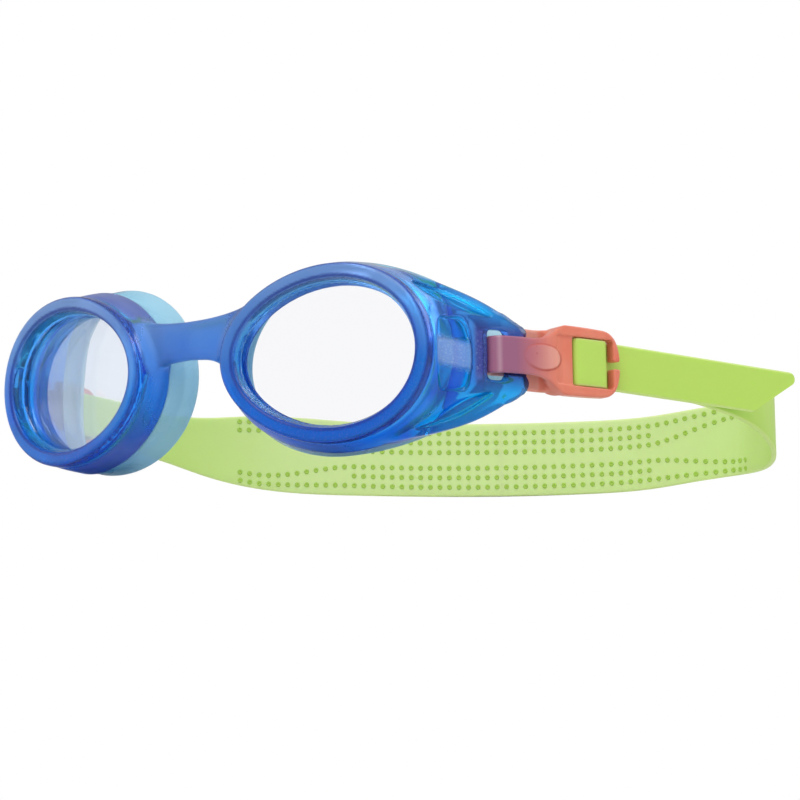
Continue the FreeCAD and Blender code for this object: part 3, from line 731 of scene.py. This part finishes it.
FRAME_PITCH = 0.38
points, faces = net(frame_field, (0, -6.0, 0.2), (68.0, 30.5, 42.4), FRAME_PITCH, mirror=True)
goggle_frame = new_object("frame_moulding", points, faces, "frame", ["goggle_frame"])
mark(goggle_frame, "thick", evened(depth_through(frame_field, points), faces, 14))
for mark_name, values in frame_marks(points).items():
    mark(goggle_frame, mark_name, values)
goggle_frame.data.materials.append(frame_material())


# ------------ lenses and gaskets

def lens_mesh():
    """A clear pane with a slight dome and a rounded edge."""
    columns, domed = 144, 0.92
    shares = [0.02, 0.12, 0.25, 0.4, 0.55, 0.7, 0.82, 0.9, 0.96]

    def side(depth, dome, order):
        return [(share, depth - dome * max(1 - (share / domed) ** 2, 0)) for share in order]

    rim = [(0.985, 3.22), (0.996, 3.34), (1.0, 3.6), (1.0, 4.8), (0.996, 5.06), (0.985, 5.18)]
    rows = []
    for share, depth in side(LENS_FRONT, 0.35, shares) + rim + side(LENS_REAR, 0.3, shares[::-1]):
        row = LENS.ring(around(columns), np.full(columns, (LENS_FRONT + LENS_REAR) / 2)) * share
        row[:, 1] = depth
        rows.append(row)
    return from_lens(np.concatenate(rows)), tube_faces(len(rows), columns)


# inset from the outer skin and share of the way from the cup's edge to the face
GASKET_PROFILE = smooth_closed([
    (0.35, 0.005), (0.0, 0.06), (0.0, 0.3), (0.0, 0.6), (-0.15, 0.85), (0.0, 0.955), (0.5, 0.998), (1.2, 1.0),
    (2.2, 0.985), (3.0, 0.93), (3.3, 0.85), (3.0, 0.76), (2.3, 0.68), (1.8, 0.5), (1.6, 0.3), (1.55, 0.08),
    (1.25, 0.005)], 3)
GASKET_OUT = Skin((23.6, 24.0, 18.9, 18.7, 5.0, 0.05), (24.6, 25.8, 19.8, 19.3, 9.0, 0.02),
                  (25.0, 27.6, 21.0, 19.5, 15.0, -0.04), (26.0, 32.8, 22.0, 19.7, FAR, -0.12))


def gasket_mesh():
    """The soft seal: a thin skirt with a rolled lip."""
    columns = 192
    angle = around(columns)
    rows, rim_highlights = [], []
    for inset, share in GASKET_PROFILE:
        depth = np.full(columns, 12.0)
        for _ in range(12):
            across = GASKET_OUT.ring(angle, depth, inset)[:, 0]
            first = wall_edge(across) + 0.05
            depth = 0.5 * depth + 0.5 * (first + share * (rim_edge(across) - first))
        rows.append(GASKET_OUT.ring(angle, depth, inset))
        # A painted highlight: a number that grows towards the face end, which the material turns paler.
        rim_highlights.append(np.full(columns, np.clip(share, 0, 1) * (0.93 if inset > 0.9 else 1.0)))
    faces = grid_faces(len(rows), columns, closed_rows=True)
    return from_lens(np.concatenate(rows)), faces, np.concatenate(rim_highlights)


glass, aqua = lens_material(), gasket_material()
lens_points, lens_faces = lens_mesh()
gasket_points, gasket_faces, gasket_rim_highlights = gasket_mesh()
for side, mirror in (("left", 1), ("right", -1)):
    pane = new_object(f"lens_pane_{side}", lens_points * (mirror, 1, 1), lens_faces, "frame",
                      [f"lens_{side}"])
    pane.data.materials.append(glass)
    seal = new_object(f"gasket_seal_{side}", gasket_points * (mirror, 1, 1), gasket_faces, "frame",
                      [f"gasket_{side}"])
    mark(seal, "rim", gasket_rim_highlights)
    seal.data.materials.append(aqua)


# ------------ buckles

ANGLE_LEFT, ANGLE_RIGHT = math.radians(64.0), math.radians(90.0)


def buckle_place(side, along, out, up=0.0):
    """A point of a buckle's own axes (along its length, outward, up) in the design frame. The clip is a
    little shorter than drawn and hangs a little towards its end; the strap's tail makes up the length."""
    angle = ANGLE_LEFT if side > 0 else ANGLE_RIGHT
    along, out = np.asarray(along, float), np.asarray(out, float)
    share = np.clip(along / BUCKLE_END, 0, 1)
    up = np.asarray(up, float) - 0.8 * share
    along = along - 1.1 * share * np.clip((76.0 - along) / 50.0, 0, 1)
    x = side * BAR[0] + side * math.cos(angle) * along + side * math.sin(angle) * out
    y = BAR[1] + math.sin(angle) * along - math.cos(angle) * out
    return np.stack(np.broadcast_arrays(x, y, BAR[2] + up), -1)


front_half = table((-8.0, 2.6, 4.4, 6.2, 8.0, 9.8, 11.6, 16.0, 22.0, 26.0),
                   (3.8, 3.8, 3.95, 4.5, 5.5, 6.7, 7.25, 7.2, 6.95, 6.6))
rear_half = table((-8.0, 2.2, 3.4, 9.0), (3.8, 3.8, 6.4, 6.4))
PAD_MIDDLE, PAD_LONG, PAD_TALL = 5.2, 4.6, 2.6
BUCKLE_END = 25.7


def rounded_box(a, b, half_a, half_b, radius):
    """Signed distance to a rectangle with round corners."""
    p, q = np.abs(a) - half_a + radius, np.abs(b) - half_b + radius
    return np.sqrt(np.maximum(p, 0) ** 2 + np.maximum(q, 0) ** 2) + np.minimum(np.maximum(p, q), 0) - radius


def buckle_field(s, n, z):
    """Below zero inside one clip: s along its length from the bar, n outward, z up."""
    outer = rounded_box(s - 2.15, n, 9.05, 3.0, 2.95)
    capsule_s = s - np.clip(s, -3.9, 6.4)
    gap = np.sqrt(capsule_s ** 2 + n ** 2) - 1.75
    loop = smax(outer, -gap, 0.35)
    plate = rounded_box(s - 16.3, n - 1.7, 9.5, 1.3, 0.5)
    side = smin(loop, plate, 0.8)
    rearward = np.clip(-n / 0.9, 0, 1)
    half = front_half(s) + (np.maximum(rear_half(s), front_half(s)) - front_half(s)) * rearward
    width = (np.abs(z) - half) / 1.15
    end = (s - BUCKLE_END + 0.042 * z * z) / 1.1
    body = smax(side, smax(width, end, 2.2), 0.55)
    window = smax(rounded_box(s - 18.5, z, 5.3, 5.12, 0.7), np.abs(n) - 9, 0.2)
    split = smax(smax(np.abs(z) - 0.8, 20 - s, 0.2), np.abs(n) - 9, 0.2)
    body = smax(body, -smin(window, split, 0.4), 0.4)
    dish = smax(rounded_box(s - 11.4, z, 2.8, 5.1, 0.8), 2.6 + np.clip(10.6 - s, 0, 3) * 0.17 - n, 0.25)
    body = smax(body, -dish, 0.25)
    pad = (np.sqrt(((s - PAD_MIDDLE) / PAD_LONG) ** 2 + (z / PAD_TALL) ** 2) - 1) * PAD_TALL
    raised = 0.3 * np.clip(0.5 - pad / 0.28, 0, 1) * np.clip((s - 0.2) / 2, 0, 1)
    body = body - raised * np.clip((n - 1.0) / 1.0, 0, 1)
    bar = rounded_box(s - 18.4, n - 1.0, 2.1, 0.5, 0.45)
    bar = smax(bar, np.abs(z) - 5.8, 0.3)
    return smin(body, bar, 0.2)


BUCKLE_PITCH = 0.19
coral = buckle_material()
clip_points, clip_faces = net(buckle_field, (-8.0, -4.0, -8.2), (27.0, 4.2, 8.2), BUCKLE_PITCH)
along, out, height = clip_points.T
oval = np.sqrt(((along - PAD_MIDDLE) / PAD_LONG) ** 2 + (height / PAD_TALL) ** 2)
outer_face = np.clip((out - 1.6) / 0.4, 0, 1)
clip_depth = depth_through(buckle_field, clip_points, 3.0, 14)
ROLL_AT = -5.4
clip_marks = {
    "neck": np.clip((8.5 - along) / 10.0, 0, 1) * np.clip((out + 0.5) / 1.0, 0, 1),
    # A painted highlight: a pale line across the neck where it rolls round the bar.
    "roll": shown_in(along, ROLL_AT - 0.3, ROLL_AT + 0.3, 0.7) * np.clip((out + 0.2) / 0.6, 0, 1),
    "pad": shown_in(oval, -1, 0.97, 0.08) * outer_face * np.clip((along - 1.0) / 6, 0, 1),
    # Painted shade: a darker coral line round the pad's edge.
    "line": shown_in(oval, 0.96, 1.1, 0.08) * outer_face * np.clip((along + 1.0) / 7, 0, 1),
    "thin": evened(np.clip((2.0 - clip_depth) / 0.8, 0, 1), clip_faces, 4) * np.clip(-0.5 - out, 0, 1)}
for side, name in ((1, "left"), (-1, "right")):
    placed = buckle_place(side, clip_points[:, 0], clip_points[:, 1], clip_points[:, 2])
    clip = new_object(f"clip_{name}", placed, clip_faces, f"{name}_clip", [f"buckle_{name}"])
    for mark_name, values in clip_marks.items():
        mark(clip, mark_name, values)
    clip.data.materials.append(coral)


# ------------ strap

THICK, NARROW = 1.2, 5.0
STRAP_ROUTE = [
    (80.9, 65.2, -2.4, 4.9), (85.0, 77.3, -3.9, 5.2), (86.7, 89.5, -5.2, 6.2), (85.0, 101.5, -6.9, 7.2),
    (80.9, 112.5, -8.0, 8.0), (75.0, 122.5, -8.3, 8.5), (68.6, 131.0, -8.1, 8.7), (61.0, 137.0, -7.9, 8.8),
    (51.5, 134.6, -8.9, 8.8), (42.0, 128.6, -10.6, 8.8), (28.4, 119.8, -11.6, 8.8), (5.5, 105.4, -11.8, 8.8),
    (-18.6, 90.2, -10.9, 8.9), (-40.0, 76.3, -8.8, 8.6), (-49.2, 70.2, -7.4, 7.0), (-56.2, 65.0, -5.4, 5.8),
    (-60.4, 60.2, -3.8, 5.2),
]
JOIN, UNDER, TAIL_UNDER = 30.0, -2.2, -0.45
HIDDEN = 4.6                                # half its width under the tail, which covers it


def rounded_path(corners, radii, fineness=7):
    """A line through corners with tangent arcs."""
    corners = [np.array(c, float) for c in corners]
    path = [corners[0]]
    for before, corner, after, radius in zip(corners, corners[1:], corners[2:], radii):
        run_in = (corner - before) / np.linalg.norm(corner - before)
        run_out = (after - corner) / np.linalg.norm(after - corner)
        angle = math.acos(max(-1.0, min(1.0, run_in @ run_out)))
        reach = radius * math.tan(angle / 2)
        inward = (run_out - run_in) / np.linalg.norm(run_out - run_in)
        centre = corner + inward * (radius / math.cos(angle / 2))
        enter, leave = corner - run_in * reach - centre, corner + run_out * reach - centre
        for i in range(fineness + 1):
            share = i / fineness
            turned = math.sin((1 - share) * angle) * enter + math.sin(share * angle) * leave
            path.append(centre + turned / math.sin(angle))
    path.append(corners[-1])
    return np.array(path)


def cross_section(half, thick, across=10):
    """A flat band's outline, as (outward, up) shares from its middle, with rounded edges."""
    radius = thick * 0.42
    out = []
    arc = np.linspace(0, math.pi / 2, 4)
    flat = np.linspace(-1, 1, across + 1)[1:-1] * (half - radius)
    for sign_out, sign_up in ((1, 1), (-1, 1), (-1, -1), (1, -1)):
        angles = arc if sign_out * sign_up > 0 else arc[::-1]
        for angle in angles:
            out.append((sign_out * (thick / 2 - radius + radius * math.cos(angle)),
                        sign_up * (half - radius + radius * math.sin(angle))))
        if (sign_out, sign_up) == (-1, 1):
            out += [(-thick / 2, v) for v in flat[::-1]]
        if (sign_out, sign_up) == (1, -1):
            out += [(thick / 2, v) for v in flat]
    return np.array(out)


def band(middles, outs, halves):
    """A flat band swept along middles, with outs as its outward normal: points, faces and points in a row."""
    rows = []
    for middle, out, half in zip(middles, outs, halves):
        section = cross_section(half, THICK)
        rows.append(middle + section[:, :1] * out + section[:, 1:] * (0.0, 0.0, 1.0))
    return np.concatenate(rows), tube_faces(len(rows), len(rows[0])), len(rows[0])


def edge_marks(rows, across=10):
    """A number for the material at each point of a band: more at its two long edges."""
    section = cross_section(1.0, THICK / 9, across)
    return np.tile((np.abs(section[:, 1]) > 0.97) * 0.5, rows)


def loop_line():
    """The strap's middle line and half width, from the left clip round the back to the right clip."""
    ends = [(*buckle_place(side, JOIN, UNDER), HIDDEN) for side in (1, -1)]
    route = np.array([ends[0]] + [(x, y, MIDDLE_Z + h, half) for x, y, h, half in STRAP_ROUTE] + [ends[1]])
    places = travelled(route[:, :3])
    at = np.append(np.arange(0, places[-1], 1.25), places[-1])
    line = spline(route, places, at)
    return line[:, :3], line[:, 3], at


def outward_of(middles):
    """The level normal of a line, away from the head."""
    along = np.gradient(middles, axis=0)
    out = np.stack([along[:, 1], -along[:, 0], 0 * along[:, 0]], 1)
    return out / np.linalg.norm(out, axis=1)[:, None]


middles, halves, at = loop_line()
outs = outward_of(middles)
PATTERN = np.array((11.0, 109.0))
centre_row = int(np.argmin(np.linalg.norm(middles[:, :2] - PATTERN, axis=1)))
reach = at - at[centre_row]


def wrap_line():
    """The strap's run under a clip and its turn over the centre bar, in the clip's own axes."""
    left, right = 14.35, 22.0
    return rounded_path([(JOIN, UNDER), (left, UNDER), (left, 2.2), (right, 2.2), (right, TAIL_UNDER),
                         (27.0, TAIL_UNDER)], [1.9, 0.75, 0.75, 0.75])


def strap_run(side):
    """One half of the strap: from the middle of the back to a clip, under it and over its centre bar."""
    rows = slice(centre_row, None) if side < 0 else slice(centre_row, None, -1)
    path = wrap_line()
    steps = np.gradient(path, axis=0)
    steps /= np.linalg.norm(steps, axis=1)[:, None]
    sideways = np.stack([-steps[:, 1], steps[:, 0]], 1)
    spots = buckle_place(side, path[:, 0], path[:, 1])
    normals = buckle_place(side, sideways[:, 0], sideways[:, 1]) - buckle_place(side, 0, 0)
    loop_outs = outs[rows]
    if normals[0] @ loop_outs[-1] < 0:
        normals = -normals
    line = np.concatenate([middles[rows], spots[1:]])
    outward = np.concatenate([loop_outs, normals[1:]])
    half = np.concatenate([halves[rows], np.full(len(spots) - 1, NARROW)])
    return line, outward, half


lime = strap_material()
dot_green = strap_material("lime_dots", rgb(168, 206, 84), rgb(158, 200, 70))

DOT_PROFILE = [(0.62, -0.12), (0.62, 0.02), (0.55, 0.17), (0.43, 0.25), (0.30, 0.22), (0.17, 0.12)]
DOT_PITCH, DOT_SIDES, DOTS_REACH, DOTS_LEVEL = 2.29, 12, 63.0, 35.0


def dot_rows():
    """Places of the raised dots, as distances along the strap from the pattern's middle and heights from
    the strap's middle line: rows that spread apart towards the ends."""
    spots = []
    half_count = int(DOTS_REACH / DOT_PITCH)
    for i in range(-half_count, half_count + 1):
        s = (i + 0.5) * DOT_PITCH
        far = min(max((abs(s) - DOTS_LEVEL) / 24, 0.0), 1.0)
        rows = [6.5 + ramped(far), 1.9 + 3.5 * ramped(far) + 0.2 * math.sin(far * math.pi)]
        if abs(s) < DOTS_LEVEL + 2:
            rows.append(4.2)
        for height in rows:
            spots += [(s, height), (s, -height)]
    return spots


def dots_mesh(spots):
    """Raised dots on the strap's inner face: low mounds with a dimple."""
    points, faces = [], []
    for s, height in spots:
        place = at[centre_row] + s
        middle = np.array([np.interp(place, at, middles[:, k]) for k in range(3)])
        out = np.array([np.interp(place, at, outs[:, k]) for k in range(3)])
        out /= np.linalg.norm(out)
        wide = np.interp(place, at, halves)
        height *= min(1.0, (wide - 0.9) / 7.9)
        along = np.cross((0, 0, 1), out)
        base = len(points)
        foot = middle - out * THICK / 2 + np.array((0, 0, height))
        for radius, rise in DOT_PROFILE:
            for angle in around(DOT_SIDES):
                points.append(foot - out * rise + along * (radius * math.cos(angle) * 0.95)
                              + np.array((0, 0, radius * math.sin(angle))))
        faces += [tuple(base + i for i in face) for face in tube_faces(len(DOT_PROFILE), DOT_SIDES)]
    return np.array(points), faces


TAIL_FROM, TAIL_LOW, TAIL_TIP, TAIL_ROUND, TAIL_DROOP = 27.0, 62.0, 77.2, 1.5, math.tan(math.radians(4.0))
TAIL_ROWS, TAIL_ACROSS = 50, 50


def tail_end(height):
    """How far the free end reaches at a height across the strap: a slanted cut with its tip rounded."""
    slant = (TAIL_TIP - TAIL_LOW) / (2 * NARROW)
    steep = math.hypot(1, slant)
    cut = TAIL_LOW + (height + NARROW) * slant
    round_height = NARROW - TAIL_ROUND
    round_at = TAIL_LOW + (round_height + NARROW) * slant - TAIL_ROUND * steep
    tip = round_at + np.sqrt(np.clip(TAIL_ROUND ** 2 - (height - round_height) ** 2, 0, None))
    return np.where(height > round_height - TAIL_ROUND * slant / steep, tip, cut)


def tail_mesh(side):
    """The strap's free end past a clip: it droops a little and its end is cut at a slant."""
    section = cross_section(NARROW, THICK, TAIL_ACROSS)
    count = len(section)
    rows = []
    for share in np.linspace(0, 1, TAIL_ROWS):
        s = TAIL_FROM + (tail_end(section[:, 1]) - TAIL_FROM) * share
        up = section[:, 1] - (s - TAIL_FROM) * TAIL_DROOP
        rows.append(buckle_place(side, s, TAIL_UNDER + section[:, 0], up))
    faces = grid_faces(len(rows), count)
    for start in (0, (TAIL_ROWS - 1) * count):
        # the section's points 3 and 4 are its top, and it is the same on both sides of them
        pairs = [(start + j, start + (7 - j) % count) for j in range(4, 4 + count // 2)]
        faces += [(a, b, d, c) for (a, c), (b, d) in zip(pairs, pairs[1:])]
    return np.concatenate(rows), faces


BLEND_FROM = {1: (79.5, 58.0), -1: (-61.4, 56.5)}
BLEND_TO = {1: (22.0, 118.0), -1: (-30.0, 83.0)}
spots = dot_rows()
for side, name in ((1, "left"), (-1, "right")):
    line, outward, half = strap_run(side)
    points, faces, count = band(line, outward, half)
    run = new_object(f"strap_run_{name}", points, faces, None, ["strap_loop"])
    mark(run, "end", np.repeat(np.clip((travelled(line) - 45) / 55, 0, 1), count))
    mark(run, "edge", edge_marks(len(line)))
    run.data.materials.append(lime)
    points, faces = dots_mesh([spot for spot in spots if spot[0] * -side > 0])
    dots = new_object(f"strap_dots_{name}", points, faces, None)
    for mark_name in ("end", "edge"):
        mark(dots, mark_name, np.zeros(len(points)))
    dots.data.materials.append(dot_green)
    low, high = (to_row([(*spot, MIDDLE_Z)])[0] for spot in (BLEND_FROM[side], BLEND_TO[side]))
    for piece in (run, dots):
        tuple(low)
        tuple(high)
        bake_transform(piece)

    points, faces = tail_mesh(side)
    tail = new_object(f"strap_tail_{name}", points, faces, f"{name}_clip",
                      [f"strap_end_{name}"])
    tail.data.set_sharp_from_angle(angle=math.radians(60))
    mark(tail, "end", np.ones(len(points)))
    mark(tail, "edge", edge_marks(TAIL_ROWS, TAIL_ACROSS))
    tail.data.materials.append(lime)


# ------------ camera, floor and light

scene = bpy.context.scene
VIEW_AZIMUTH, VIEW_UP, VIEW_ROLL, VIEW_FAR = 32.295, -7.2075, -0.983, 0.550
TARGET = to_row([(36.375, 24.127, MIDDLE_Z - 7.592)])[0]
azimuth, up_angle, roll = (math.radians(v) for v in (VIEW_AZIMUTH, VIEW_UP, VIEW_ROLL))
back = Vector((math.sin(azimuth), -math.cos(azimuth), math.tan(up_angle))) * math.cos(up_angle)
right = Vector((math.cos(azimuth), math.sin(azimuth), 0))
up = back.cross(right)
right, up = right * math.cos(roll) + up * math.sin(roll), up * math.cos(roll) - right * math.sin(roll)
camera = bpy.data.objects.new("camera", bpy.data.cameras.new("camera"))
camera.data.lens = 118.5
camera.data.sensor_width = 36.0
camera.data.clip_start, camera.data.clip_end = 0.01, 20.0
turned = Matrix((right, up, back)).transposed().to_4x4()
camera.matrix_world = Matrix.Translation(Vector(TARGET) + back * VIEW_FAR) @ turned
scene.collection.objects.link(camera)
scene.camera = camera


def floor_material():
    """Plain matt floor that is clear from below and fades out towards its far edges."""
    n = Nodes("studio_floor")
    tone = n.mix(n.noise(3, 2), (0.80, 0.80, 0.80), (0.83, 0.83, 0.82))
    matt = n.add("BsdfDiffuse", {"Color": tone})
    clear = n.add("BsdfTransparent", {"Color": (1, 1, 1, 1)})
    far = n.span(n.add("VectorMath", {0: n.place()}, operation="LENGTH").outputs["Value"], 0.5, 1.9)
    gone = n.math("MAXIMUM", n.add("NewGeometry").outputs["Backfacing"], far)
    return n.finish(n.add("MixShader", {0: gone, 1: matt.outputs[0], 2: clear.outputs[0]}).outputs[0])


FLOOR = 2.5
floor_mesh = bpy.data.meshes.new("studio_floor")
corners = [(x * FLOOR, y * FLOOR, 0) for x, y in ((-1, -1), (1, -1), (1, 1), (-1, 1))]
floor_mesh.from_pydata(corners, [], [(0, 1, 2, 3)])
floor = bpy.data.objects.new("studio_floor", floor_mesh)
scene.collection.objects.link(floor)
floor_mesh.materials.append(floor_material())


AIM = Vector((0, 0, 0.02))
for name, place, size, power in (
        ("key", (0.25, -0.55, 0.75), 0.6, 4.5), ("fill", (-0.8, -0.35, 0.35), 0.8, 1.5),
        ("rim", (0.5, 0.7, 0.6), 0.7, 2.5)):
    lamp = bpy.data.lights.new(name, "AREA")
    lamp.size, lamp.energy = size, power
    item = bpy.data.objects.new(name, lamp)
    item.location = place
    item.rotation_euler = (AIM - Vector(place)).to_track_quat("-Z", "Y").to_euler()
    scene.collection.objects.link(item)

n = Nodes("studio", "World")
surround = n.add("Background", {"Color": (1, 1, 1), "Strength": 0.55})
backdrop = n.add("Background", {"Color": (1, 1, 1), "Strength": 1.0})
ray = n.add("LightPath")
straight = n.math("MAXIMUM", ray.outputs["Is Camera Ray"], ray.outputs["Is Transmission Ray"])
shown = n.add("MixShader", {0: straight, 1: surround.outputs[0], 2: backdrop.outputs[0]})
scene.world = n.finish(shown.outputs[0])
scene.view_settings.view_transform = "Standard"
scene.view_settings.look = "None"

bpy.context.view_layer.update()
